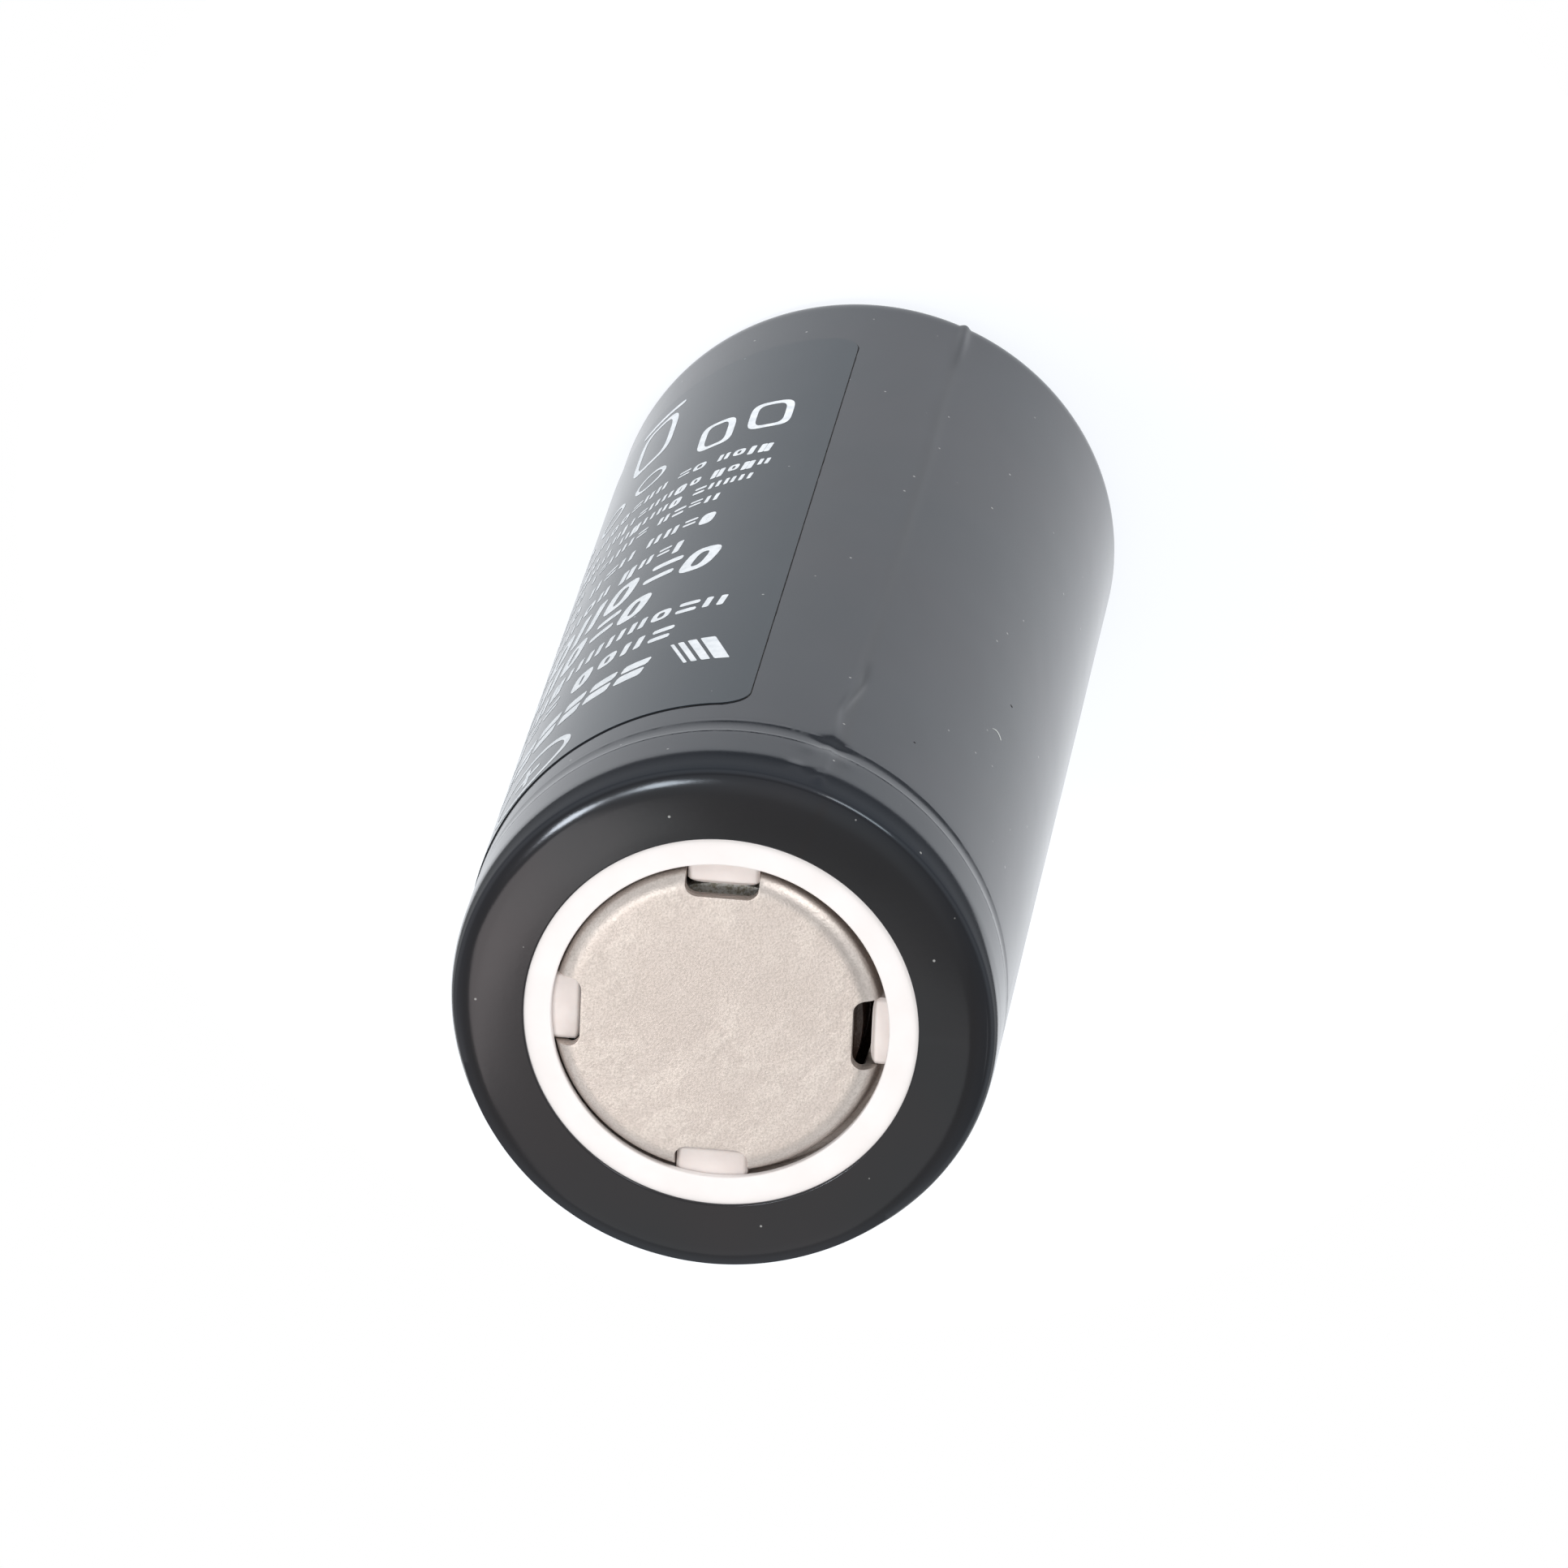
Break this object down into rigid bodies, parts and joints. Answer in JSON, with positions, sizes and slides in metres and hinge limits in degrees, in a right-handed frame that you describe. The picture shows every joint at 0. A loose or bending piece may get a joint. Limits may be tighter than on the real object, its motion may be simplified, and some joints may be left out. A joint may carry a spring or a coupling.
{
  "type": "cylindrical battery cell",
  "caption": "Upright cylindrical rechargeable cell in a shrink sleeve, with a flat slotted positive cap, a crimped rim and a flat can bottom as its negative contact.",
  "frame": {"origin": "centre of the negative contact face under the can, which is what the cell stands on", "axes": "+Z along the cell's axis towards the positive cap; the cap's four slots lie on the X and Y axes; the lengthwise fold of the sleeve faces -Y and 18 degrees towards -X"},
  "size_m": [0.0265, 0.0266, 0.0652],
  "materials": {
    "can_steel": "nickel-plated drawn steel, satin",
    "sleeve_film": "black shrink film, semi-gloss",
    "label_print": "dark printed film, semi-gloss",
    "washer_white": "white, matte",
    "cap_steel": "nickel-plated stamped steel, fine grain",
    "gasket_white": "moulded, translucent white",
    "ptc_polymer": "foil-faced conductive polymer",
    "disc_aluminium": "rolled, scored",
    "ring_plastic": "moulded, matte",
    "plate_aluminium": "rolled, matte",
    "top_board": "pressed board",
    "bottom_board": "pressed board",
    "pin_steel": "rolled steel strip",
    "tab_aluminium": "soft strip",
    "tab_nickel": "nickel strip",
    "tape_amber": "amber film tape",
    "tape_green": "green film tape",
    "tape_blue": "blue film tape",
    "cathode_coat": "metal oxide coating on aluminium foil",
    "anode_coat": "graphite coating on copper foil",
    "separator_film": "porous film, matte"
  },
  "bodies": {
    "root": {"can": "can_steel", "shrink_sleeve": "sleeve_film", "label_film": "label_print", "insulator_washer": "washer_white", "positive_cap": "cap_steel", "sealing_gasket": "gasket_white", "ptc_ring": "ptc_polymer", "vent_disc": "disc_aluminium", "cid_insulator": "ring_plastic", "weld_plate": "plate_aluminium", "top_insulator": "top_board", "bottom_insulator": "bottom_board", "centre_pin": "pin_steel", "positive_tab": "tab_aluminium", "negative_tab": "tab_nickel", "positive_tab_tape": "tape_amber", "negative_tab_tape": "tape_green", "winding_tape": "tape_blue", "cathode": "cathode_coat", "anode": "anode_coat", "separator_inner": "separator_film", "separator_outer": "separator_film"}
  },
  "joints": []
}
